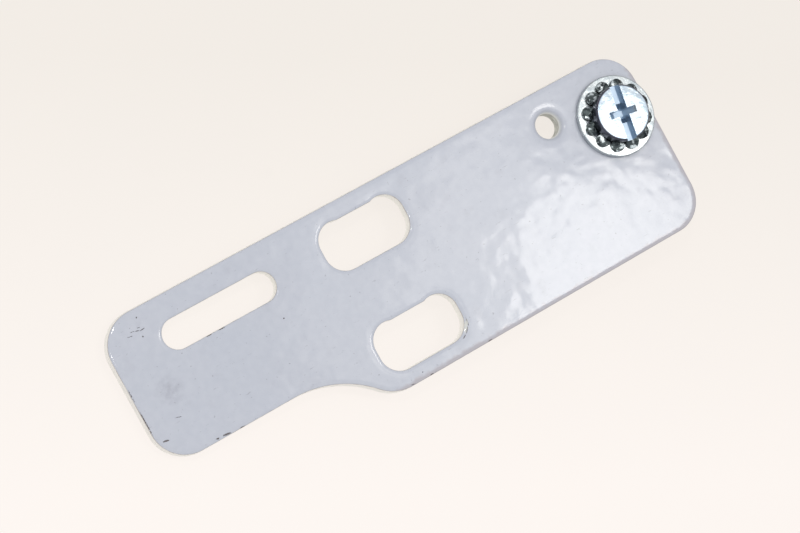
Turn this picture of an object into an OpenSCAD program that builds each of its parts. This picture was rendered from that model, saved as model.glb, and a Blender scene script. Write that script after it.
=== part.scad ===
// Enamelled hinge plate with its captive clamp screw.
// The origin is on the axis of the clamp screw, in the plate's back face.
// +X points to the near end of the plate, +Y to its straight long edge, +Z out of the enamelled face.

/* [Plate] */
// Length of the plate
plate_len = 100; // [92:1:120]
// Width of the plate at the screw end
plate_w = 32; // [31:0.5:40]
// Thickness of the steel sheet
sheet_t = 2.5; // [2:0.1:4]
// Radius of the plate's four corners
corner_r = 6; // [2:0.5:7]
// Distance from the screw's axis to the near end
screw_to_end = 6.8; // [6:0.1:10]
// Distance from the screw's axis to the straight long edge
screw_to_edge = 10; // [7:0.1:14]

/* [Stepped edge] */
// Width of the narrow end of the plate
narrow_w = 24.35; // [20:0.05:28]
// Length of the narrow end before the edge starts to swing out
narrow_len = 22.5; // [16:0.2:28]
// Radius of the hollow curve that leaves the narrow end
step_hollow_r = 17.4; // [10:0.1:20]
// Radius of the round curve that runs into the wide end
step_nose_r = 7.25; // [3:0.05:10]

/* [Rolled edge] */
// How far the rolled edge reaches in from the cut
roll_w = 0.6; // [0.3:0.05:0.9]
// How much the rolled edge's radius exceeds its reach
roll_slack = 0.1; // [0.05:0.05:0.3]

/* [Slot] */
// Length of the slot from end to end
slot_len = 20; // [12:0.5:24]
// Width of the slot
slot_w = 5; // [4.5:0.1:6.5]
// Distance from the far end of the plate to the slot's middle
slot_from_end = 18.8; // [16:0.2:20]
// Distance from the straight long edge to the slot's centre line
slot_from_edge = 6.7; // [5:0.1:9]

/* [Wide openings] */
// Length of each opening
opening_len = 15.4; // [12:0.2:18]
// Height of each opening between its straight sides
opening_h = 8.1; // [7.4:0.1:9]
// Radius of the two plain corners
opening_corner_r = 3.5; // [2:0.1:3.6]
// Radius of the two relieved corners
lobe_r = 3.25; // [2.5:0.05:3.6]
// How far the relieved corners rise above the straight side
lobe_rise = 0.25; // [0.15:0.05:0.6]
// Distance from the far end of the plate to the openings' middle
openings_from_end = 45.5; // [43:0.5:56]
// Distance from the straight long edge to the first opening's middle
openings_from_edge = 7.1; // [6.5:0.1:8]
// Distance between the middles of the two openings
openings_pitch = 18; // [13:0.1:18.5]

/* [Tapped holes] */
// Bore of the spare tapped hole, the thread's inner diameter
tap_bore_d = 4.2; // [3.2:0.1:5]
// Distance from the clamp screw to the spare hole along the plate
spare_dx = 11; // [10.6:0.1:14]
// Distance from the clamp screw to the spare hole across the plate
spare_dy = 4; // [-6:0.1:4.5]
// Depth that the lead-in of a plunged hole reaches
lead_in_h = 1.1; // [0.5:0.05:1.4]
// Width of the rounded lead-in round the bore
lead_in_w = 0.95; // [0.4:0.05:1.2]
// Wall of the plunged collar
collar_wall = 1; // [0.6:0.1:1.4]
// How far the collar stands out of the back face
collar_h = 0.7; // [0.3:0.1:2]

/* [Clamp screw] */
// Outside diameter of the screw's thread
thread_d = 4.9; // [3.9:0.1:5.9]
// Length of the screw under its head
screw_len = 10; // [8:0.5:20]
// Diameter of the neck that holds the washers captive
neck_d = 4.2; // [3:0.1:4.6]
// Length of the neck past the washers
neck_extra = 0.4; // [0.2:0.1:1]
// Bevel at the screw's tip
tip_bevel = 0.6; // [0.3:0.1:1]
// Diameter of the pan head
head_d = 9.4; // [7:0.1:11]
// Height of the pan head
head_h = 2; // [1.6:0.1:3.5]
// Radius round the head's top edge
head_edge_r = 0.4; // [0.2:0.05:0.8]

/* [Driver recess] */
// Width of the straight slot
drive_slot_w = 1.8; // [1:0.1:2.2]
// Depth of the straight slot
drive_slot_depth = 1.1; // [0.6:0.1:1.4]
// Length over the arms of the cross recess
cross_len = 4.9; // [3.5:0.1:5.5]
// Width of the arms of the cross recess
cross_w = 1.2; // [0.8:0.1:1.5]
// Depth of the cross recess
cross_depth = 2.3; // [1.2:0.1:2.8]
// Length over the arms at the bottom of the recess
cross_tip_len = 1.6; // [1.3:0.1:2]
// Angle of the straight slot from the plate's length
drive_angle = 80; // [0:5:175]

/* [Washers] */
// Diameter of the flat washer
flat_d = 13.7; // [10:0.1:15]
// Thickness of the flat washer
flat_t = 1; // [0.6:0.1:1.6]
// Radius round the flat washer's top edge
flat_edge_r = 0.2; // [0.1:0.05:0.4]
// Diameter over the teeth of the lock washer
lock_d = 12.3; // [10:0.1:13]
// Sheet thickness of the lock washer
lock_t = 0.5; // [0.4:0.05:0.7]
// Height of the lock washer over its twisted teeth
lock_h = 0.9; // [0.75:0.05:1.2]
// Diameter of the lock washer's solid ring
lock_ring_d = 8.4; // [7:0.1:9]
// Number of teeth
teeth = 12; // [8:1:12]
// Radius of each tooth's round tip
tooth_tip_r = 1.2; // [0.7:0.05:1.25]
// Width of a tooth where it leaves the ring
tooth_root_w = 1.5; // [0.8:0.1:1.7]

/* [Fits] */
// Radial room between the screw's thread and its hole
thread_room = 0.05; // [0.02:0.01:0.1]
// Radial room between the neck and the washers' bores
washer_room = 0.2; // [0.1:0.05:0.3]
// Room left above and below the lock washer's teeth
tooth_room = 0.01; // [0.005:0.005:0.05]

/* [Hidden] */
$fn = 96;
enamel = [0.80, 0.82, 0.86];
zinc = [0.80, 0.84, 0.88];
// Cuts run this far past the faces they open through
past = 1;
// Cuts that end in a curved face cross it by this little
lap = 0.01;
x_near = screw_to_end;
x_far = x_near - plate_len;
y_top = screw_to_edge;
y_wide = y_top - plate_w;
y_narrow = y_top - narrow_w;
// The two curves of the step touch each other, so the drop fixes how long the step is
step_drop = plate_w - narrow_w;
step_radii = step_hollow_r + step_nose_r;
step_angle = acos(1 - step_drop / step_radii);
step_run = step_radii * sin(step_angle);
step_hollow = [x_far + narrow_len, y_narrow - step_hollow_r];
step_nose = [step_hollow.x + step_run, y_wide + step_nose_r];
step_joint_x = step_hollow.x + step_hollow_r * sin(step_angle);
roll_r = roll_w + roll_slack;
// Depth and inset of the rolled edge's centre, so that its arc meets both faces just off tangent
roll_c = (roll_w + sqrt(2 * roll_r * roll_r - roll_w * roll_w)) / 2;
slot_c = [x_far + slot_from_end, y_top - slot_from_edge];
slot_half = (slot_len - slot_w) / 2;
opening_x = x_far + openings_from_end;
opening_ys = [y_top - openings_from_edge, y_top - openings_from_edge - openings_pitch];
lobe = [opening_len / 2 - lobe_r, opening_h / 2 + lobe_rise - lobe_r];
plain = [opening_len / 2 - opening_corner_r, opening_corner_r - opening_h / 2];
// Where the relieved corner's arc crosses the straight side
crease_angle = acos((lobe_r - lobe_rise) / lobe_r);
crease_x = lobe.x - lobe_r * sin(crease_angle);
spare = [-spare_dx, spare_dy];
screw_hole_r = thread_d / 2 + thread_room;
washer_bore_r = neck_d / 2 + washer_room;
lead_in_r = (lead_in_w * lead_in_w + lead_in_h * lead_in_h) / (2 * lead_in_w);
z_lock = sheet_t + flat_t;
z_head = z_lock + lock_h;
tip_reach = lock_d / 2 - tooth_tip_r;
tooth_twist = asin((lock_h - 2 * tooth_room - lock_t) / (2 * tooth_tip_r));

// The flat outline: a rectangle less its corner rounds and the step under the narrow end
module plate_outline() {
    difference() {
        translate([x_far, y_wide]) square([plate_len, plate_w]);
        step_cut();
        corner_cut([x_near, y_top], 180);
        corner_cut([x_far, y_top], 270);
        corner_cut([x_far, y_narrow], 0);
        corner_cut([x_near, y_wide], 90);
    }
}

// What a round corner leaves out; turn 0 is the low X, low Y corner
module corner_cut(corner, turn) {
    translate(corner) rotate(turn) difference() {
        translate([-past, -past]) square(corner_r + past);
        translate([corner_r, corner_r]) circle(corner_r);
    }
}

// The region below the narrow end and its two touching curves
module step_cut() {
    below = y_wide - past;
    translate([x_far - past, below]) square([narrow_len + past, y_narrow - below]);
    intersection() {
        translate(step_hollow) circle(step_hollow_r);
        translate([step_hollow.x, below]) square([step_joint_x - step_hollow.x, y_narrow - below]);
    }
    difference() {
        translate([step_joint_x, below]) square([step_nose.x - step_joint_x, step_nose.y - below]);
        translate(step_nose) circle(step_nose_r);
    }
}

module slot_outline() {
    translate(slot_c) {
        square([2 * slot_half, slot_w], center = true);
        for (side = [-1, 1]) translate([side * slot_half, 0]) circle(slot_w / 2);
    }
}

// A wide opening: two plain corners below, two relieved ones above
module opening_outline() {
    translate([-opening_len / 2, plain.y]) square([opening_len, lobe.y - plain.y]);
    translate([-plain.x, -opening_h / 2]) square([2 * plain.x, opening_h / 2]);
    translate([-lobe.x, 0]) square([2 * lobe.x, opening_h / 2]);
    for (side = [-1, 1]) {
        translate([side * lobe.x, lobe.y]) circle(lobe_r);
        translate([side * plain.x, plain.y]) circle(opening_corner_r);
    }
}

// Section of what the rolled edge leaves out, with the cut wall at x = 0 and the face at y = 0
module roll_section() {
    translate([-roll_c, -roll_c]) difference() {
        square(roll_c + past);
        circle(roll_r);
    }
}

// Rolled edge along a straight cut; the sheet lies to the left of its direction
module roll_line(start, turn, run) {
    translate([start.x, start.y, sheet_t]) rotate([0, 0, turn])
        rotate([90, 0, 90]) linear_extrude(run) mirror([1, 0]) roll_section();
}

// Rolled edge round an arc, with the sheet inside it at a corner or outside it at a hole.
// A clockwise sweep is the mirror image of the same sweep anticlockwise.
module roll_arc(centre, r, from, sweep, hole) {
    clockwise = sweep < 0;
    translate([centre.x, centre.y, sheet_t]) mirror([clockwise ? 1 : 0, 0, 0])
        rotate([0, 0, clockwise ? 180 - from : from])
            rotate_extrude(angle = abs(sweep)) translate([r, 0]) mirror([hole ? 1 : 0, 0]) roll_section();
}

module roll_outer_edge() {
    roll_line([step_nose.x, y_wide], 0, x_near - corner_r - step_nose.x);
    roll_arc([x_near - corner_r, y_wide + corner_r], corner_r, 270, 90, false);
    roll_line([x_near, y_wide + corner_r], 90, plate_w - 2 * corner_r);
    roll_arc([x_near - corner_r, y_top - corner_r], corner_r, 0, 90, false);
    roll_line([x_near - corner_r, y_top], 180, plate_len - 2 * corner_r);
    roll_arc([x_far + corner_r, y_top - corner_r], corner_r, 90, 90, false);
    roll_line([x_far, y_top - corner_r], 270, narrow_w - 2 * corner_r);
    roll_arc([x_far + corner_r, y_narrow + corner_r], corner_r, 180, 90, false);
    roll_line([x_far + corner_r, y_narrow], 0, narrow_len - corner_r);
    roll_arc(step_hollow, step_hollow_r, 90, -step_angle, true);
    roll_arc(step_nose, step_nose_r, 270, -step_angle, false);
}

module roll_slot_edge() {
    roll_line([slot_c.x - slot_half, slot_c.y + slot_w / 2], 0, 2 * slot_half);
    roll_line([slot_c.x + slot_half, slot_c.y - slot_w / 2], 180, 2 * slot_half);
    roll_arc([slot_c.x - slot_half, slot_c.y], slot_w / 2, 90, 180, true);
    roll_arc([slot_c.x + slot_half, slot_c.y], slot_w / 2, 270, 180, true);
}

module roll_opening_edge() {
    roll_line([-crease_x, opening_h / 2], 0, 2 * crease_x);
    roll_arc(lobe, lobe_r, 0, 90 + crease_angle, true);
    roll_arc([-lobe.x, lobe.y], lobe_r, 180, -90 - crease_angle, true);
    roll_line([opening_len / 2, lobe.y], 270, lobe.y - plain.y);
    roll_line([-opening_len / 2, plain.y], 90, lobe.y - plain.y);
    roll_arc([-plain.x, plain.y], opening_corner_r, 180, 90, true);
    roll_arc(plain, opening_corner_r, 270, 90, true);
    roll_line([plain.x, -opening_h / 2], 180, 2 * plain.x);
}

// The bore of a plunged hole with the lead-in that the plunge draws down round it
module plunged_bore(centre, r) {
    translate([centre.x, centre.y, 0]) {
        translate([0, 0, -collar_h - past]) cylinder(h = sheet_t + collar_h + 2 * past, r = r);
        translate([0, 0, sheet_t - lead_in_h]) rotate_extrude() difference() {
            square([r + lead_in_w + lap, lead_in_h + past]);
            translate([r + lead_in_r, 0]) circle(lead_in_r);
        }
    }
}

module collar(centre, r) {
    translate([centre.x, centre.y, -collar_h]) cylinder(h = collar_h + sheet_t / 2, r = r + collar_wall);
}

module hinge_plate() {
    color(enamel) difference() {
        union() {
            linear_extrude(sheet_t) plate_outline();
            collar([0, 0], screw_hole_r);
            collar(spare, tap_bore_d / 2);
        }
        translate([0, 0, -past]) linear_extrude(sheet_t + 2 * past) {
            slot_outline();
            for (y = opening_ys) translate([opening_x, y]) opening_outline();
        }
        roll_outer_edge();
        roll_slot_edge();
        for (y = opening_ys) translate([opening_x, y, 0]) roll_opening_edge();
        plunged_bore([0, 0], screw_hole_r);
        plunged_bore(spare, tap_bore_d / 2);
    }
}

module flat_washer() {
    color(zinc) translate([0, 0, sheet_t]) rotate_extrude() {
        bore = washer_bore_r;
        translate([bore, 0]) square([flat_d / 2 - bore, flat_t - flat_edge_r]);
        translate([bore, 0]) square([flat_d / 2 - flat_edge_r - bore, flat_t]);
        translate([flat_d / 2 - flat_edge_r, flat_t - flat_edge_r]) circle(flat_edge_r);
    }
}

// One tooth of the lock washer lying flat along +X, widening to its round tip
module tooth_outline() {
    root = lock_ring_d / 2 - lock_t;
    polygon([[root, -tooth_root_w / 2], [tip_reach, -tooth_tip_r],
             [tip_reach, tooth_tip_r], [root, tooth_root_w / 2]]);
    translate([tip_reach, 0]) circle(tooth_tip_r);
}

module tooth_lock_washer() {
    color(zinc) translate([0, 0, z_lock + lock_h / 2]) {
        difference() {
            cylinder(h = lock_t, d = lock_ring_d, center = true);
            cylinder(h = lock_t + past, r = washer_bore_r, center = true);
        }
        for (i = [0 : teeth - 1]) rotate([0, 0, i * 360 / teeth]) rotate([tooth_twist, 0, 0])
            linear_extrude(lock_t, center = true) tooth_outline();
    }
}

// The straight slot, and the cross recess that narrows downward
module driver_recess() {
    rotate([0, 0, drive_angle]) {
        translate([0, 0, past / 2 - drive_slot_depth / 2])
            cube([head_d + past, drive_slot_w, drive_slot_depth + past], center = true);
        translate([0, 0, -cross_depth]) intersection() {
            cylinder(h = cross_depth + lap, d1 = cross_tip_len, d2 = cross_len);
            for (turn = [0, 90]) rotate([0, 0, turn])
                translate([-cross_len, -cross_w / 2, 0]) cube([2 * cross_len, cross_w, cross_depth + lap]);
        }
    }
}

module clamp_screw() {
    neck_len = flat_t + lock_h + neck_extra;
    tip_z = z_head - screw_len;
    color(zinc) difference() {
        union() {
            translate([0, 0, z_head]) rotate_extrude() {
                square([head_d / 2, head_h - head_edge_r]);
                square([head_d / 2 - head_edge_r, head_h]);
                translate([head_d / 2 - head_edge_r, head_h - head_edge_r]) circle(head_edge_r);
            }
            translate([0, 0, z_head - neck_len]) cylinder(h = neck_len + head_h / 2, d = neck_d);
            translate([0, 0, tip_z + tip_bevel]) cylinder(h = screw_len - neck_len - tip_bevel, d = thread_d);
            translate([0, 0, tip_z]) cylinder(h = tip_bevel, d1 = thread_d - 2 * tip_bevel, d2 = thread_d);
        }
        translate([0, 0, z_head + head_h]) driver_recess();
    }
}

hinge_plate();
flat_washer();
tooth_lock_washer();
clamp_screw();
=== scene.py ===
from math import acos, asin, atan2, cos, degrees, pi, radians, sin

import bmesh
import bpy
from mathutils import Matrix, Vector


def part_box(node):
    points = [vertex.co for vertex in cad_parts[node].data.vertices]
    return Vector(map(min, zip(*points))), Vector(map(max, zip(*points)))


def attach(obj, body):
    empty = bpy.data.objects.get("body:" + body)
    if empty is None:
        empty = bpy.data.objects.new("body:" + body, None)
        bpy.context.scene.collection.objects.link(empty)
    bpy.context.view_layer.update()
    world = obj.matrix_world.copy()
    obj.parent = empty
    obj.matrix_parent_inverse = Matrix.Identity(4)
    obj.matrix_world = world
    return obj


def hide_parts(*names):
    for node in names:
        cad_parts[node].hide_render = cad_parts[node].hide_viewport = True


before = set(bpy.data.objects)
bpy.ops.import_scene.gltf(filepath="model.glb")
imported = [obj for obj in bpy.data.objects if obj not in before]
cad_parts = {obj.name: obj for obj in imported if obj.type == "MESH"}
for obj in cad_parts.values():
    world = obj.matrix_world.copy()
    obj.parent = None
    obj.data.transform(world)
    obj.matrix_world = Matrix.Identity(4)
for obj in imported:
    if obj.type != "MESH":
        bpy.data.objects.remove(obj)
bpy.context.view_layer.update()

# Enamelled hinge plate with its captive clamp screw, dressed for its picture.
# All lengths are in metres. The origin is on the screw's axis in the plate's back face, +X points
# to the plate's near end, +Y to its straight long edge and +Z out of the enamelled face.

# Hinge plate
# One flat steel stamping, pierced and plunged, its cut edges rolled over on the face side,
# then dipped and fired in a thick, glossy light grey enamel that pools into soft ripples.

mm = 0.001
plate_low, plate_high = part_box("hinge_plate")
x_far, y_wide = plate_low.x, plate_low.y
x_near, y_top = plate_high.x, plate_high.y
z_face = plate_high.z
collar_h = -plate_low.z
corner_r = 6 * mm
y_narrow = y_top - 24.35 * mm
narrow_len = 22.5 * mm
step_hollow_r = 17.4 * mm
step_nose_r = 7.25 * mm
slot_centre = (x_far + 18.8 * mm, y_top - 6.7 * mm)
slot_w = 5 * mm
slot_reach = 7.5 * mm
opening_w = 15.4 * mm
opening_h = 8.1 * mm
opening_x = x_far + 45.5 * mm
opening_ys = (y_top - 7.1 * mm, y_top - 25.1 * mm)
opening_corner_r = 3.5 * mm
lobe_r = 3.25 * mm
lobe_rise = 0.25 * mm
spare_hole = (-11 * mm, 4 * mm)
spare_bore_r = 2.1 * mm
screw_bore_r = 2.5 * mm
thread_depth = 0.3 * mm
thread_pitch = 0.8 * mm
collar_wall = 1 * mm
lead_in_w = 0.9 * mm
lead_in_h = 1.1 * mm
sink_w = 1 * mm
sink_h = 0.045 * mm
sink_slope = radians(5)
roll_w = 0.85 * mm
roll_h = 0.3 * mm
roll_tightness = 2.5
dish_w = 0.75 * mm
dish_h = 0.02 * mm
flat_margin = 0.15 * mm
wall_lean = 0.14 * mm
burr = 0.1 * mm


def arc(centre, radius, start, end, steps=14):
    """Points on an arc from one angle in degrees to another, both ends included."""
    points = []
    for step in range(steps + 1):
        angle = radians(start + (end - start) * step / steps)
        points.append((centre[0] + radius * cos(angle), centre[1] + radius * sin(angle)))
    return points


def plate_outline(inset):
    """The plate's outline, moved into the sheet by inset."""
    drop = y_narrow - y_wide
    step_turn = degrees(acos(1 - drop / (step_hollow_r + step_nose_r)))
    step_run = (step_hollow_r + step_nose_r) * sin(radians(step_turn))
    hollow = (x_far + narrow_len, y_narrow - step_hollow_r)
    nose = (hollow[0] + step_run, y_wide + step_nose_r)
    round_r = corner_r - inset
    return (arc((x_near - corner_r, y_wide + corner_r), round_r, -90, 0)
            + arc((x_near - corner_r, y_top - corner_r), round_r, 0, 90)
            + arc((x_far + corner_r, y_top - corner_r), round_r, 90, 180)
            + arc((x_far + corner_r, y_narrow + corner_r), round_r, 180, 270)
            + arc(hollow, step_hollow_r + inset, 90, 90 - step_turn, 24)[:-1]
            + arc(nose, step_nose_r - inset, 270 - step_turn, 270, 20))


def slot_outline(inset):
    """The adjusting slot's outline, moved into the sheet by inset."""
    x, y = slot_centre
    end_r = slot_w / 2 + inset
    return arc((x + slot_reach, y), end_r, -90, 90, 28) + arc((x - slot_reach, y), end_r, 90, 270, 28)


def opening_outline(y, inset):
    """A wide opening's outline with two plain corners below and two relieved lobes above."""
    plain_x = opening_w / 2 - opening_corner_r
    plain_y = y - opening_h / 2 + opening_corner_r
    lobe_x = opening_w / 2 - lobe_r
    lobe_y = y + opening_h / 2 + lobe_rise - lobe_r
    past_top = degrees(acos((lobe_r - lobe_rise + inset) / (lobe_r + inset)))
    return (arc((opening_x + plain_x, plain_y), opening_corner_r + inset, -90, 0)
            + arc((opening_x + lobe_x, lobe_y), lobe_r + inset, 0, 90 + past_top, 20)
            + arc((opening_x - lobe_x, lobe_y), lobe_r + inset, 90 - past_top, 180, 20)
            + arc((opening_x - plain_x, plain_y), opening_corner_r + inset, 180, 270))


def ring(centre, radius, steps=72):
    return arc(centre, radius, 0, 360, steps)[:-1]


def add_loop(mesh, points, z):
    """A closed row of vertices; z is one height, or one height for each point."""
    heights = z if isinstance(z, list) else [z] * len(points)
    return [mesh.verts.new((x, y, height)) for (x, y), height in zip(points, heights)]


def skin(mesh, loops, coat=0):
    """Four-sided faces between each two neighbouring rows of vertices, in one of the piece's coats."""
    for upper, lower in zip(loops, loops[1:]):
        for step in range(len(upper)):
            after = (step + 1) % len(upper)
            face = mesh.faces.new((upper[step], upper[after], lower[after], lower[step]))
            face.material_index = coat


def cap(mesh, loops):
    """Flat faces that fill the area between an outline and its holes, made at millimetre scale."""
    edges = []
    for loop in loops:
        edges += [mesh.edges.get((loop[step - 1], loop[step])) for step in range(len(loop))]
    bmesh.ops.scale(mesh, vec=(1 / mm, 1 / mm, 1 / mm), verts=mesh.verts)
    bmesh.ops.triangle_fill(mesh, edges=edges, use_beauty=True, use_dissolve=False)
    bmesh.ops.scale(mesh, vec=(mm, mm, mm), verts=mesh.verts)


def cut_edge(mesh, outline, top_inset, lean, dip_w, dip):
    """The rolled edge, the wall and the lower arris of one cut through the sheet, top loop first.
    The face dips a little beside an opening, and the roll ends in a tight round in the edges' own
    finish."""
    loops = []
    for share in (0, 0.3, 0.6, 0.85):
        loops.append(add_loop(mesh, outline(top_inset + roll_w + dip_w * (1 - share)),
                              z_face - dip * share ** 2))
    roll_steps = 12
    for step in range(roll_steps + 1):
        turn = radians(90 * step / roll_steps)
        along = sin(turn) ** (2 / roll_tightness)
        down = 1 - cos(turn) ** (2 / roll_tightness)
        loops.append(add_loop(mesh, outline(top_inset + roll_w * (1 - along)),
                              z_face - dip - (roll_h - dip) * down))
    coated = len(loops) - 3
    for share in (0.5, 1):
        loops.append(add_loop(mesh, outline(top_inset - lean * share),
                              (z_face - roll_h) * (1 - share) + burr * share))
    loops.append(add_loop(mesh, outline(top_inset - lean + burr), 0))
    skin(mesh, loops[:coated])
    skin(mesh, loops[coated - 1:], coat=1)
    return loops[0], loops[-1]


def thread_height(angle, z, pitch):
    """0 in the thread's valleys and 1 on its crests, for a right-hand thread."""
    phase = (z / pitch - angle / (2 * pi)) % 1
    slope = min(phase, 1 - phase) * 2
    return min(max((slope - 0.2) / 0.6, 0), 1)


def plunged_hole(mesh, centre, bore_r, groove):
    """A plunged hole: drawn-in face, rounded lead-in, tapped bore and the collar behind the plate."""
    loops = []
    for share in (0, 0.25, 0.5, 0.75):
        loops.append(add_loop(mesh, ring(centre, bore_r + lead_in_w + sink_w * (1 - share)),
                              z_face - sink_h * share ** 2))
    lead_steps = 12
    for step in range(lead_steps + 1):
        turn = sink_slope + (pi / 2 - sink_slope) * step / lead_steps
        along = (sin(turn) - sin(sink_slope)) / (1 - sin(sink_slope))
        down = 1 - cos(turn) / cos(sink_slope)
        loops.append(add_loop(mesh, ring(centre, bore_r + lead_in_w * (1 - along)),
                              z_face - sink_h - (lead_in_h - sink_h) * down))
    coated = len(loops)
    bore_top = z_face - lead_in_h
    bore_bottom = burr - collar_h
    bore_steps = 40
    for step in range(1, bore_steps + 1):
        share = step / bore_steps
        z = bore_top + (bore_bottom - bore_top) * share
        fade = min(share / 0.15, (1 - share) / 0.1, 1)
        points = []
        for turn in range(72):
            angle = 2 * pi * turn / 72
            radius = bore_r + groove * fade * (1 - thread_height(angle, z, thread_pitch))
            points.append((centre[0] + radius * cos(angle), centre[1] + radius * sin(angle)))
        loops.append(add_loop(mesh, points, z))
    outer_r = bore_r + collar_wall
    loops.append(add_loop(mesh, ring(centre, bore_r + burr), -collar_h))
    loops.append(add_loop(mesh, ring(centre, outer_r - burr), -collar_h))
    loops.append(add_loop(mesh, ring(centre, outer_r), burr - collar_h))
    loops.append(add_loop(mesh, ring(centre, outer_r), -2 * burr))
    loops.append(add_loop(mesh, ring(centre, outer_r + 2 * burr), 0))
    skin(mesh, loops[:coated])
    skin(mesh, loops[coated - 1:], coat=2)
    return loops[0], loops[-1]


def finish_piece(name, mesh, material, sharp=40):
    """Turns a finished mesh into a smooth-shaded piece in the scene."""
    bmesh.ops.recalc_face_normals(mesh, faces=mesh.faces)
    data = bpy.data.meshes.new(name)
    mesh.to_mesh(data)
    mesh.free()
    for face in data.polygons:
        face.use_smooth = True
    data.set_sharp_from_angle(angle=radians(sharp))
    piece = bpy.data.objects.new(name, data)
    piece.data.materials.append(material)
    bpy.context.scene.collection.objects.link(piece)
    return piece


def seen(red, green, blue):
    """A shader colour from a colour as a screen shows it, each part from 0 to 255."""
    return tuple((part / 255) ** 2.2 for part in (red, green, blue)) + (1,)


def new_finish(name, **sockets):
    """A material, its nodes, its main shader and the place on the piece that its patterns follow.
    Numbers that hold all over it go straight on the shader's sockets."""
    material = bpy.data.materials.new(name)
    material.use_nodes = True
    tree = material.node_tree
    shader = tree.nodes["Principled BSDF"]
    for socket, number in sockets.items():
        shader.inputs[socket.replace("_", " ").title().replace("Ior", "IOR")].default_value = number
    return material, tree, shader, add_node(tree, "TexCoord", {}).outputs["Object"]


def add_node(tree, kind, inputs, **settings):
    """A shader node with its settings, and its inputs linked or set."""
    made = tree.nodes.new("ShaderNode" + kind)
    for setting, choice in settings.items():
        setattr(made, setting, choice)
    for socket, source in inputs.items():
        if isinstance(source, bpy.types.NodeSocket):
            tree.links.new(source, made.inputs[socket])
        else:
            made.inputs[socket].default_value = source
    return made


def spread(tree, number, low, high, bottom=0, top=1):
    """A number's range from low to high, laid over the range from bottom to top."""
    laid = add_node(tree, "MapRange", {"Value": number, "From Min": low, "From Max": high,
                                       "To Min": bottom, "To Max": top})
    return laid.outputs["Result"]


def speckle(tree, place, grain, low, high, detail=4):
    """Noise with grains of one size, spread from 0 at low to 1 at high."""
    noise = add_node(tree, "TexNoise", {"Vector": place, "Scale": 1 / grain, "Detail": detail})
    return spread(tree, noise.outputs["Fac"], low, high)


def tint(tree, share, under, over):
    """One colour laid over another by a share from 0 to 1."""
    laid = add_node(tree, "Mix", {0: share, 6: under, 7: over}, data_type="RGBA")
    return laid.outputs[2]


def combine(tree, operation, first, second):
    """One sum of two numbers or sockets."""
    return add_node(tree, "Math", {0: first, 1: second}, operation=operation).outputs[0]


def bump(tree, height, depth, below=None):
    """Relief of a depth in metres, laid over the relief below it."""
    inputs = {"Height": height, "Distance": depth, "Strength": 1.0}
    if below is not None:
        inputs["Normal"] = below
    return add_node(tree, "Bump", inputs).outputs["Normal"]


# Where the enamel is chipped or scratched, in millimetres and degrees:
# centre, half length, half width, turn, strength
worn_places = [
    ((-92.95, -6.4), 2.3, 0.13, 90, 0.9),
    ((-92.9, -1.6), 1.6, 0.10, 90, 0.7),
    ((-91.6, -10.2), 0.50, 0.13, -12, 1.0),
    ((-84.4, -13.8), 0.30, 0.15, 0, 0.9),
    ((-82.8, -13.9), 0.75, 0.17, -8, 1.0),
    ((-80.2, -14.15), 0.55, 0.13, 0, 1.0),
    ((-88.2, -7.95), 0.75, 0.06, -17, 0.8),
    ((-88.7, 6.3), 0.60, 0.05, -10, 0.75),
    ((-88.1, 6.8), 0.50, 0.05, 2, 0.7),
    ((-87.4, 6.6), 0.55, 0.06, -16, 0.85),
    ((-86.8, 6.9), 0.40, 0.05, -8, 0.8),
    ((-86.5, 6.4), 0.45, 0.07, 6, 0.9),
    ((-86.9, 5.4), 0.14, 0.12, 0, 0.95),
    ((-86.4, 8.4), 0.18, 0.10, 40, 0.75),
    ((-77.7, 0.72), 0.60, 0.10, 0, 0.9),
    ((-75.5, 0.70), 0.70, 0.12, -2, 0.9),
    ((-39.85, -17.3), 0.75, 0.10, 82, 1.0),
    ((-40.50, -18.4), 0.75, 0.10, 47, 1.0),
    ((-41.45, -19.15), 0.50, 0.08, 28, 0.9),
    ((-37.9, -21.75), 0.40, 0.11, 5, 1.0),
    ((-49.2, -21.75), 0.30, 0.10, -4, 1.0),
    ((-50.4, -20.7), 0.14, 0.08, 0, 0.8),
    ((-52.8, -21.62), 0.50, 0.07, -8, 0.8),
    ((-66.1, -2.6), 0.14, 0.12, 0, 0.9),
]


# Where the enamel shows a pale greyish patch
pale_patch_places = [
    ((-40.39, -17.83), 1.30, 0.32, 55, 1.0),
]
stain_place = (-87.4 * mm, -3.7 * mm, z_face)
stain_r = 2.6 * mm
near_end_shade_w = 0.9 * mm


def worn_mask(tree, place, places):
    """1 inside some of the places and 0 away from them, with ragged edges."""
    ragged = speckle(tree, place, 0.3 * mm, 0.3, 0.7)
    mask = None
    for centre, half_length, half_width, turn, strength in places:
        spot = add_node(tree, "Mapping", {
            "Vector": place, "Location": (centre[0] * mm, centre[1] * mm, z_face),
            "Rotation": (0, 0, radians(turn)), "Scale": (half_length * mm, half_width * mm, 3 * mm),
        }, vector_type="TEXTURE")
        reach = add_node(tree, "VectorMath", {0: spot.outputs[0]}, operation="LENGTH").outputs["Value"]
        near = spread(tree, reach, 1.6, 0.5, top=strength)
        mask = near if mask is None else combine(tree, "MAXIMUM", mask, near)
    torn = spread(tree, ragged, 0, 1, bottom=0.35)
    return spread(tree, combine(tree, "MULTIPLY", mask, torn), 0.35, 0.6)


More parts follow.
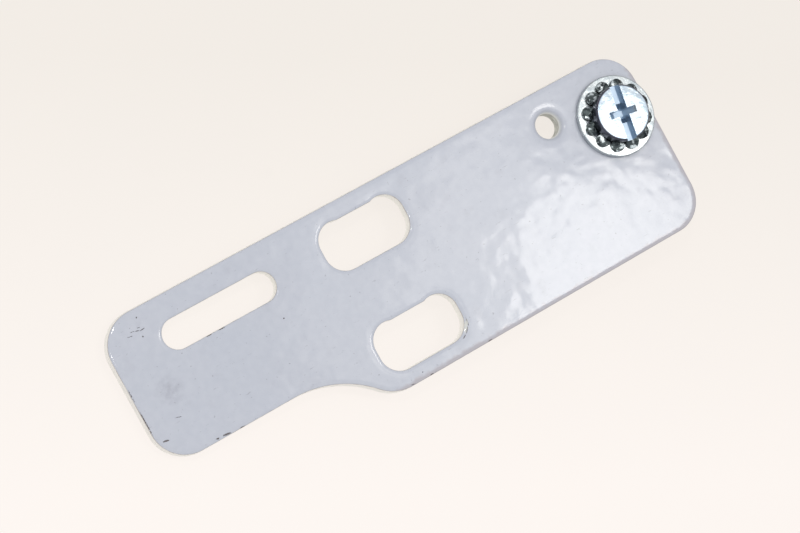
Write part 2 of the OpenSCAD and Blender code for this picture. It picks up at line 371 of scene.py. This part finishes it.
def enamel_finish():
    """Glossy light grey enamel with pooled ripples, dark specks, hair scratches, a stain and chips."""
    material, tree, shader, place = new_finish(
        "light_grey_enamel", roughness=0.1, specular_ior_level=0.5)
    clouds = speckle(tree, place, 14 * mm, 0.3, 0.7)
    base = tint(tree, clouds, seen(183, 187, 197), seen(187, 190, 199))
    blotches = speckle(tree, place, 1.1 * mm, 0.35, 0.65)
    blotched = tint(tree, combine(tree, "MULTIPLY", blotches, 0.35), base, seen(174, 178, 189))
    smear = speckle(tree, place, 3 * mm, 0.6, 0.8)
    stain = add_node(tree, "VectorMath", {0: place, 1: stain_place}, operation="DISTANCE")
    stained = spread(tree, stain.outputs["Value"], stain_r, 0.2 * mm, top=1.1)
    stained = combine(tree, "MULTIPLY", stained, combine(tree, "ADD", blotches, 0.1))
    smears = combine(tree, "MAXIMUM", combine(tree, "MULTIPLY", smear, 0.4), stained)
    smeared = tint(tree, smears, blotched, seen(164, 166, 176))
    speck = speckle(tree, place, 0.45 * mm, 0.71, 0.77, detail=2)
    drawn = add_node(tree, "Mapping", {"Vector": place, "Scale": (1, 7, 1),
                                       "Rotation": (0, 0, radians(-25))})
    hair = speckle(tree, drawn.outputs[0], 1.6 * mm, 0.70, 0.76, detail=3)
    marks = combine(tree, "MAXIMUM", speck, combine(tree, "MULTIPLY", hair, 0.8))
    marks_and_painted_light = tint(tree, combine(tree, "MULTIPLY", marks, 0.45), smeared, seen(112, 110, 116))
    # A band along the near end's edges is painted darker and browner, as shade on its rolled edge
    outward = place
    for operation, other in (("SUBTRACT", (x_near - corner_r, y_wide + corner_r, 0)),
                             ("MULTIPLY", (1, -1, 0)), ("MAXIMUM", (0, 0, 0))):
        outward = add_node(tree, "VectorMath", {0: outward, 1: other}, operation=operation).outputs[0]
    outward = add_node(tree, "VectorMath", {0: outward}, operation="LENGTH").outputs["Value"]
    outward = combine(tree, "ADD", outward, combine(tree, "MULTIPLY", blotches, 0.5 * mm))
    near_end_painted_shade = spread(tree, outward, corner_r - near_end_shade_w, corner_r - near_end_shade_w / 3, top=0.65)
    marks_and_painted_light = tint(tree, near_end_painted_shade, marks_and_painted_light, seen(172, 165, 168))
    # The plunged holes' lead-ins, deeper than the rolled edges, are painted paler, as light reaching
    # down into them
    depth = add_node(tree, "SeparateXYZ", {"Vector": place}).outputs["Z"]
    depth_painted_shading = spread(tree, depth, z_face - 0.32 * mm, z_face - 0.9 * mm)
    marks_and_painted_light = tint(tree, depth_painted_shading, marks_and_painted_light, seen(232, 234, 232))
    worn = worn_mask(tree, place, worn_places)
    enamel_colour = tint(tree, worn, marks_and_painted_light, seen(102, 95, 96))
    enamel_colour = tint(tree, worn_mask(tree, place, pale_patch_places), enamel_colour, seen(204, 205, 200))
    tree.links.new(enamel_colour, shader.inputs["Base Color"])
    dulled = combine(tree, "MAXIMUM", worn, combine(tree, "MULTIPLY", smear, 0.1))
    tree.links.new(spread(tree, dulled, 0, 1, 0.08, 0.5), shader.inputs["Roughness"])
    pooled = speckle(tree, place, 6.5 * mm, 0, 1, detail=2.2)
    peel = speckle(tree, place, 2.2 * mm, 0, 1, detail=2)
    relief = bump(tree, pooled, 0.11 * mm)
    relief = bump(tree, peel, 0.007 * mm, relief)
    relief = bump(tree, combine(tree, "SUBTRACT", 1, worn), 0.08 * mm, relief)
    tree.links.new(relief, shader.inputs["Normal"])
    return material


def edge_finish():
    """The cut edges: a pale cream painted on as light thrown up onto the walls from the table, with a
    brownish line where the arris rubbed through.
    """
    material, tree, shader, place = new_finish("edge_coat_painted_bounce", roughness=0.35, specular_ior_level=0.4)
    height = add_node(tree, "SeparateXYZ", {"Vector": place}).outputs["Z"]
    arris = z_face - roll_h
    rubbed = spread(tree, height, arris - 0.12 * mm, arris)
    uneven = speckle(tree, place, 1.2 * mm, 0.25, 0.6)
    # The walls are painted pale cream, as light thrown up onto them from the table
    painted_bounce_light = tint(tree, uneven, seen(238, 237, 231), seen(246, 245, 239))
    strength = combine(tree, "ADD", 0.2, combine(tree, "MULTIPLY", uneven, 0.6))
    line = combine(tree, "MULTIPLY", rubbed, strength)
    tree.links.new(tint(tree, line, painted_bounce_light, seen(164, 155, 150)), shader.inputs["Base Color"])
    return material


def bore_finish():
    """The tapped holes' walls: pale, dull steel with hardly any enamel on it."""
    material, tree, shader, place = new_finish("bare_bore_steel", metallic=0.2, roughness=0.45)
    dull = speckle(tree, place, 0.7 * mm, 0.3, 0.7)
    bare = tint(tree, dull, seen(214, 214, 206), seen(176, 176, 170))
    tree.links.new(bare, shader.inputs["Base Color"])
    return material


plate_mesh = bmesh.new()
outer = cut_edge(plate_mesh, plate_outline, wall_lean, wall_lean, flat_margin, 0)
slot = cut_edge(plate_mesh, slot_outline, 0, 0, dish_w, dish_h / 2)
openings = [cut_edge(plate_mesh, lambda inset, y=y: opening_outline(y, inset), 0, 0, dish_w, dish_h)
            for y in opening_ys]
spare = plunged_hole(plate_mesh, spare_hole, spare_bore_r, thread_depth)
screw_hole = plunged_hole(plate_mesh, (0, 0), screw_bore_r, 0)
for side in (0, 1):
    cap(plate_mesh, [cut[side] for cut in (outer, slot, *openings, spare, screw_hole)])
plate = finish_piece("enamelled_plate", plate_mesh, enamel_finish())
plate.data.materials.append(edge_finish())
plate.data.materials.append(bore_finish())
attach(plate, "root")
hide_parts("hinge_plate")

# Flat washer
# A washer punched from bright steel strip and zinc plated. Its punched top edge is slightly
# rounded and its lower edge is sharp; the screw's neck holds it loosely under the lock washer.

washer_low, washer_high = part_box("flat_washer")
washer_r = washer_high.x
washer_bore_r = 2.3 * mm
washer_edge_r = 0.22 * mm


def lathe(mesh, profile, steps=128, closed=False):
    """A turned shape from (radius, z) points; a closed profile makes a ring."""
    loops = [add_loop(mesh, ring((0, 0), radius, steps), z) for radius, z in profile]
    skin(mesh, loops + loops[:1] if closed else loops)
    return loops


def rounded(radius, z, edge_r, start, end, steps=6):
    """Profile points round an edge whose arc's centre is at (radius, z)."""
    return arc((radius, z), edge_r, start, end, steps)


def zinc_finish(name, colour, shade, gloss, streak, shade_and_dull_below=None):
    """Bright zinc plate: cool metal with soft clouds, tiny pits and fine handling scratches. All that
    lies below a height, if one is given, is rougher and painted darker and bluer as shade in a recess."""
    material, tree, shader, place = new_finish(name, metallic=1.0)
    clouds = speckle(tree, place, 1.6 * mm, 0.35, 0.7)
    pits = speckle(tree, place, 0.18 * mm, 0.66, 0.74, detail=3)
    base = tint(tree, clouds, colour, shade)
    zinc_colour = tint(tree, combine(tree, "MULTIPLY", pits, 0.5), base, seen(120, 134, 150))
    if shade_and_dull_below is not None:
        height = add_node(tree, "SeparateXYZ", {"Vector": place}).outputs["Z"]
        depth_painted_shading = spread(tree, height, shade_and_dull_below, shade_and_dull_below - 0.5 * mm)
        # The recess is painted darker and bluer, as shade in it
        zinc_colour = tint(tree, depth_painted_shading, zinc_colour, seen(172, 188, 204))
    tree.links.new(zinc_colour, shader.inputs["Base Color"])
    worn_dull = combine(tree, "MAXIMUM", combine(tree, "MULTIPLY", clouds, 0.4), pits)
    if shade_and_dull_below is not None:
        worn_dull = combine(tree, "MAXIMUM", worn_dull, depth_painted_shading)
    tree.links.new(spread(tree, worn_dull, 0, 1, gloss, gloss + 0.24), shader.inputs["Roughness"])
    stretched = add_node(tree, "Mapping", {"Vector": place, "Scale": (1, 9, 1),
                                           "Rotation": (0, 0, radians(35))})
    lines = speckle(tree, stretched.outputs[0], 0.9 * mm, 0.3, 0.7, detail=6)
    relief = bump(tree, clouds, 0.03 * mm)
    relief = bump(tree, lines, streak, relief)
    relief = bump(tree, pits, -0.006 * mm, relief)
    tree.links.new(relief, shader.inputs["Normal"])
    return material


washer_mesh = bmesh.new()
lathe(washer_mesh,
      [(washer_bore_r, washer_high.z - washer_edge_r)]
      + rounded(washer_bore_r + washer_edge_r, washer_high.z - washer_edge_r, washer_edge_r, 180, 90)
      + rounded(washer_r - washer_edge_r, washer_high.z - washer_edge_r, washer_edge_r, 90, 0)
      + [(washer_r, washer_low.z + burr), (washer_r - burr / 2, washer_low.z),
         (washer_bore_r + burr / 2, washer_low.z), (washer_bore_r, washer_low.z + burr)],
      closed=True)
bmesh.ops.remove_doubles(washer_mesh, verts=washer_mesh.verts, dist=0.001 * mm)
flat_washer = finish_piece("plain_washer", washer_mesh, zinc_finish(
    "washer_zinc", seen(204, 209, 210), seen(176, 184, 188), 0.2, 0.004 * mm))
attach(flat_washer, "root")
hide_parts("flat_washer")

# Tooth lock washer
# A ring of hard spring steel with twelve round-tipped teeth, each twisted out of the ring's
# plane so that one of its corners bites upward and the other downward, then thinly plated.

lock_low, lock_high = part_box("tooth_lock_washer")
lock_sheet = 0.42 * mm
lock_mid = (lock_low.z + lock_high.z) / 2
lock_ring_r = 4.2 * mm
tooth_count = 12
tooth_root_half = 0.75 * mm
tooth_tip_r = 1.2 * mm
tooth_reach = lock_high.x - tooth_tip_r
lock_room = 0.01 * mm
tooth_twist = asin((lock_high.z - lock_low.z - 2 * lock_room - lock_sheet) / (2 * tooth_tip_r))
tooth_columns = 8
tooth_droop = 0.2 * mm
tooth_crown = 0.12 * mm
droop_from_r = 4.6 * mm


def tooth_rows():
    """Each row of a tooth as (distance from the axis, half width, share of the full twist)."""
    rows = []
    shank_steps = 6
    for step in range(shank_steps):
        share = step / shank_steps
        rows.append((lock_ring_r + (tooth_reach - lock_ring_r) * share,
                     tooth_root_half + (tooth_tip_r - tooth_root_half) * share, share))
    for turn in (0, 15, 30, 44, 56, 67, 77, 85):
        angle = radians(turn)
        rows.append((tooth_reach + tooth_tip_r * sin(angle), tooth_tip_r * cos(angle), 1))
    return rows


def tooth_point(base_angle, distance, across, twist_share):
    """A point of a tooth's middle sheet, across being its distance from the tooth's centre line."""
    twist = tooth_twist * (3 - 2 * twist_share) * twist_share ** 2
    lateral = across * cos(twist)
    rise = across * sin(twist)
    x = distance * cos(base_angle) - lateral * sin(base_angle)
    y = distance * sin(base_angle) + lateral * cos(base_angle)
    return x, y, rise


def tooth_lock_sheet(mesh, side):
    """The washer's upper (side 1) or lower (side -1) skin, with its inner rim and teeth."""
    lift = side * lock_sheet / 2 + lock_mid
    skin_rows = tooth_rows()
    outer_rim = []
    inner_rim = []
    tooth_edges = []
    for tooth in range(tooth_count):
        base = 2 * pi * tooth / tooth_count
        columns = []
        for column in range(tooth_columns + 1):
            share = 2 * column / tooth_columns - 1
            verts = []
            for distance, half_width, twist_share in skin_rows:
                x, y, rise = tooth_point(base, distance, share * half_width, twist_share)
                past_ring = max(0, (distance - droop_from_r) / (lock_high.x - droop_from_r))
                bent = tooth_droop * past_ring ** 2 + tooth_crown * share ** 2 * twist_share
                z = max(lift + rise - bent, lock_low.z + lock_room)
                verts.append(mesh.verts.new((x, y, z)))
            columns.append(verts)
        for left, right in zip(columns, columns[1:]):
            for row in range(len(skin_rows) - 1):
                mesh.faces.new((left[row], left[row + 1], right[row + 1], right[row]))
        outer_rim += [verts[0] for verts in columns]
        tooth_edges.append(columns[0] + [verts[-1] for verts in columns[1:-1]] + columns[-1][::-1])
        gap = base + pi / tooth_count
        outer_rim.append(mesh.verts.new((lock_ring_r * cos(gap), lock_ring_r * sin(gap), lift)))
        tooth_edges.append([outer_rim[-1]])
    for vert in outer_rim:
        angle = atan2(vert.co.y, vert.co.x)
        inner_rim.append(mesh.verts.new((washer_bore_r * cos(angle), washer_bore_r * sin(angle), lift)))
    skin(mesh, [outer_rim, inner_rim])
    border = [vert for edge in tooth_edges for vert in edge]
    return border, inner_rim


def lock_finish():
    """Spring steel, thinly plated and dark, with bright streaks painted on it as glints."""
    material, tree, shader, place = new_finish("dark_lock_zinc", metallic=1.0)
    clouds = speckle(tree, place, 1.2 * mm, 0.35, 0.65)
    dark = tint(tree, clouds, seen(92, 100, 100), seen(40, 44, 48))
    # Bright streaks painted on as glints
    painted_glint_streaks = speckle(tree, place, 0.9 * mm, 0.55, 0.62, detail=3)
    tree.links.new(tint(tree, painted_glint_streaks, dark, seen(196, 204, 206)), shader.inputs["Base Color"])
    tree.links.new(spread(tree, clouds, 0, 1, 0.14, 0.34), shader.inputs["Roughness"])
    tree.links.new(bump(tree, clouds, 0.12 * mm), shader.inputs["Normal"])
    return material


lock_mesh = bmesh.new()
upper_border, upper_bore = tooth_lock_sheet(lock_mesh, 1)
lower_border, lower_bore = tooth_lock_sheet(lock_mesh, -1)
skin(lock_mesh, [upper_border, lower_border])
skin(lock_mesh, [upper_bore, lower_bore])
lock_washer = finish_piece("toothed_lock_washer", lock_mesh, lock_finish())
# The teeth's bevelled arrises get a bright zinc: partly wear, partly painted glints
lock_washer.data.materials.append(zinc_finish(
    "worn_and_glint_tooth_zinc", seen(190, 198, 200), seen(150, 160, 164), 0.2, 0.004 * mm))
worn_and_glint_arris = lock_washer.modifiers.new("worn_and_glint_arris", "BEVEL")
worn_and_glint_arris.width = 0.09 * mm
worn_and_glint_arris.segments = 3
worn_and_glint_arris.limit_method = "ANGLE"
worn_and_glint_arris.angle_limit = radians(50)
worn_and_glint_arris.material = 1
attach(lock_washer, "root")
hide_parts("tooth_lock_washer")

# Clamp screw
# A cold-headed machine screw in zinc-plated steel with a pan head, a straight slot across it,
# a cross recess in its middle, a thin neck under the washers and a rolled thread.

screw_low, screw_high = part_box("clamp_screw")
head_r = screw_high.x
head_top = screw_high.z
head_h = 2 * mm
head_under = head_top - head_h
head_edge_r = 0.4 * mm
head_side_w = 0.25 * mm
neck_r = 2.1 * mm
neck_len = 2.3 * mm
neck_end = head_under - neck_len
thread_r = 2.45 * mm
screw_thread_depth = 0.38 * mm
tip_bevel = 0.6 * mm
drive_turn = radians(80)
drive_slot_w = 1.8 * mm
drive_floor_w = 0.95 * mm
drive_slot_depth = 1.1 * mm
cross_reach = 2.45 * mm
cross_tip_reach = 0.8 * mm
cross_w = 1.2 * mm
cross_floor_w = 1 * mm
cross_depth = 2.3 * mm
recess_lip = 0.1 * mm


def screw_blank(mesh):
    """The head, neck and threaded shank as one turned body."""
    steps = 96
    loops = [add_loop(mesh, ring((0, 0), head_r * share, steps), head_top) for share in (0.3, 0.6)]
    for radius, z in rounded(head_r - head_edge_r, head_top - head_edge_r, head_edge_r, 90, 0, 8):
        loops.append(add_loop(mesh, ring((0, 0), radius, steps), z))
    for radius, z in ((head_r, head_under + burr), (head_r - burr, head_under), (neck_r, head_under),
                      (neck_r, neck_end)):
        loops.append(add_loop(mesh, ring((0, 0), radius, steps), z))
    thread_rows = int((neck_end - screw_low.z) / thread_pitch * 14)
    for row in range(1, thread_rows + 1):
        z = neck_end + (screw_low.z - neck_end) * row / thread_rows
        run_out = min(row / 16, 1)
        tip = max(0, tip_bevel - (z - screw_low.z))
        points = []
        for turn in range(steps):
            angle = 2 * pi * turn / steps
            crest = thread_r - screw_thread_depth * (1 - thread_height(angle, z, thread_pitch))
            radius = min(neck_r + (crest - neck_r) * run_out, thread_r - tip)
            points.append((radius * cos(angle), radius * sin(angle)))
        loops.append(add_loop(mesh, points, z))
    skin(mesh, loops)
    mesh.faces.new(loops[0])
    mesh.faces.new(loops[-1])


def cutter(name, mesh):
    """A closed tool whose shape is cut out of the screw's head."""
    bmesh.ops.recalc_face_normals(mesh, faces=mesh.faces)
    data = bpy.data.meshes.new(name)
    mesh.to_mesh(data)
    mesh.free()
    tool = bpy.data.objects.new(name, data)
    bpy.context.scene.collection.objects.link(tool)
    return tool


def taper_block(mesh, top_half, bottom_half, turn, top_z, bottom_z):
    """A block with one rectangle at its top and another at its bottom, turned about the axis."""
    swing = Matrix.Rotation(turn, 3, "Z")
    rows = []
    for (half_x, half_y), z in ((top_half, top_z), (bottom_half, bottom_z)):
        corners = ((half_x, half_y), (-half_x, half_y), (-half_x, -half_y), (half_x, -half_y))
        rows.append([mesh.verts.new(swing @ Vector((x, y, z))) for x, y in corners])
    skin(mesh, rows)
    mesh.faces.new(rows[0])
    mesh.faces.new(rows[1])


def cut_from(piece, tool):
    """Cuts a tool's shape out of a piece for good and removes the tool."""
    cut = piece.modifiers.new("cut", "BOOLEAN")
    cut.object = tool
    cut.operation = "DIFFERENCE"
    cut.solver = "EXACT"
    bpy.context.view_layer.update()
    carved = bpy.data.meshes.new_from_object(piece.evaluated_get(bpy.context.evaluated_depsgraph_get()))
    piece.modifiers.clear()
    blank = piece.data
    piece.data = carved
    bpy.data.meshes.remove(blank)
    bpy.data.objects.remove(tool)


screw_mesh = bmesh.new()
screw_blank(screw_mesh)
screw = finish_piece("pan_head_screw", screw_mesh, zinc_finish(
    "screw_zinc", seen(190, 201, 210), seen(170, 186, 200), 0.16, 0.003 * mm, head_top - recess_lip))
above = 1 * mm
slot_tool = bmesh.new()
slot_flare = (drive_slot_w - drive_floor_w) / 2 / drive_slot_depth * above
taper_block(slot_tool, (head_r + above, drive_slot_w / 2 + slot_flare),
            (head_r + above, drive_floor_w / 2),
            drive_turn, head_top + above, head_top - drive_slot_depth)
cut_from(screw, cutter("slot_tool", slot_tool))
cross_flare = (cross_reach - cross_tip_reach) / cross_depth * above
for quarter in (0, 1):
    cross_tool = bmesh.new()
    taper_block(cross_tool, (cross_reach + cross_flare, cross_w / 2),
                (cross_tip_reach, cross_floor_w / 2),
                drive_turn + quarter * pi / 2, head_top + above, head_top - cross_depth)
    cut_from(screw, cutter("cross_tool", cross_tool))
# The head's side is painted dark, as the shade and dark reflections that lie on it
screw.data.materials.append(zinc_finish(
    "screw_side_painted_shade_zinc", seen(104, 104, 116), seen(70, 72, 84), 0.2, 0.004 * mm))
for face in screw.data.polygons:
    face.use_smooth = True
    if face.center.xy.length > head_r - head_side_w and face.center.z > head_under:
        face.material_index = 1
screw.data.set_sharp_from_angle(angle=radians(38))
soft_arris = screw.modifiers.new("soft_arris", "BEVEL")
soft_arris.width = 0.07 * mm
soft_arris.segments = 2
soft_arris.limit_method = "ANGLE"
soft_arris.angle_limit = radians(50)
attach(screw, "root")
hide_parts("clamp_screw")

# Table
# A pale, faintly warm sheet of milky plastic that glows a little. The plate lies on it by its
# far edge and the screw's tip, so the sheet leans by the angle between them.

screw_tip_r = thread_r - tip_bevel
table_lean = atan2(-screw_low.z, -screw_tip_r - x_far)
table_half = 6
table_gap = 0.01 * mm
table_glow = 0.885


def table_finish():
    """Milky white plastic with the faintest clouds and scuffs, softly lit from below."""
    material, tree, shader, place = new_finish(
        "table_plastic", roughness=0.55, emission_strength=table_glow)
    clouds = speckle(tree, place, 30 * mm, 0.3, 0.7)
    scuffs = speckle(tree, place, 6 * mm, 0.68, 0.78)
    base = tint(tree, clouds, seen(70, 68, 66), seen(73, 70, 67))
    scuffed = tint(tree, combine(tree, "MULTIPLY", scuffs, 0.25), base, seen(62, 59, 56))
    tree.links.new(scuffed, shader.inputs["Base Color"])
    # The glow is painted dimmer towards the camera's up direction, as light falling off across the
    # table
    nearer = add_node(tree, "VectorMath", {0: place, 1: (0.46, 0.88, 0)}, operation="DOT_PRODUCT")
    glow_falloff = spread(tree, nearer.outputs["Value"], -60 * mm, 10 * mm)
    glow = tint(tree, glow_falloff, seen(254, 247, 242), seen(241, 235, 228))
    tree.links.new(glow, shader.inputs["Emission Color"])
    grain = speckle(tree, place, 1 * mm, 0, 1)
    tree.links.new(bump(tree, grain, 0.004 * mm), shader.inputs["Normal"])
    return material


table_mesh = bmesh.new()
table_swing = Matrix.Rotation(table_lean, 3, "Y")
table_foot = Vector((x_far, 0, -table_gap))
table_corners = [(-table_half, -table_half), (table_half, -table_half),
                 (table_half, table_half), (-table_half, table_half)]
table_mesh.faces.new([table_mesh.verts.new(table_foot + table_swing @ Vector((x, y, 0)))
                      for x, y in table_corners])
table = finish_piece("table", table_mesh, table_finish())

# Camera
# A long lens looks down on the plate from its far end, so that the plate runs up to the right.

sight_point = Vector((-45.29 * mm, -4.36 * mm, z_face))
camera_right = Vector((0.82876, -0.47968, 0.28820))
camera_up = Vector((0.46218, 0.87709, 0.13079))
camera_back = camera_right.cross(camera_up).normalized()
camera_place = sight_point + Vector((-105.2 * mm, 8.27 * mm, 316.2 * mm))
lens = bpy.data.cameras.new("long_lens")
lens.lens = 94.5
lens.sensor_width = 36
lens.clip_start = 0.01
camera = bpy.data.objects.new("camera", lens)
camera.matrix_world = Matrix.Translation(camera_place) @ Matrix(
    (camera_right, camera_up, camera_back)).transposed().to_4x4()
bpy.context.scene.collection.objects.link(camera)
bpy.context.scene.camera = camera

# Lights
# White cloth overhead lights everything evenly and grows dark low down. A round lamp across the
# plate puts the broad, mottled shine on the screw end, and two small ones make the rims' glints.

lamp_distance = 0.6


def add_light(name, aim, direction, width, power):
    """A round lamp that is turned to a point, seen from there in the direction given."""
    lamp = bpy.data.lights.new(name, "AREA")
    lamp.shape = "DISK"
    lamp.size = width
    lamp.energy = power
    lamp.color = (1, 0.97, 0.91)
    holder = bpy.data.objects.new(name, lamp)
    toward = direction.normalized()
    holder.location = aim + toward * lamp_distance
    holder.rotation_euler = toward.to_track_quat("Z", "Y").to_euler()
    bpy.context.scene.collection.objects.link(holder)


for name, x, y, width, power in (("shine_lamp", -12, -24, 0.106, 0.155),
                                 ("halo_lamp", -26, -15, 0.12, 0.055),
                                 ("wide_halo_lamp", -30, -14, 0.20, 0.09)):
    shine_point = Vector((x * mm, y * mm, z_face))
    to_camera = (camera_place - shine_point).normalized()
    mirrored = Vector((-to_camera.x, -to_camera.y, to_camera.z))
    add_light(name, shine_point, mirrored, width, power)
add_light("glint_lamp", sight_point, Vector((-0.13, 0.36, 0.92)), 0.045, 0.45)
add_light("rim_lamp", sight_point, Vector((-0.27, 0.07, 0.95)), 0.04, 0.13)

room = bpy.data.worlds.new("room")
room.use_nodes = True
room_tree = room.node_tree
direction = add_node(room_tree, "TexCoord", {}).outputs["Generated"]
height = add_node(room_tree, "SeparateXYZ", {"Vector": direction}).outputs["Z"]
room_colour = tint(room_tree, spread(room_tree, height, 0.1, 0.7),
                   (0.12, 0.11, 0.11, 1), (1.05, 1.06, 1.08, 1))
room_tree.links.new(room_colour, room_tree.nodes["Background"].inputs["Color"])
bpy.context.scene.world = room
bpy.context.scene.view_settings.view_transform = "Standard"
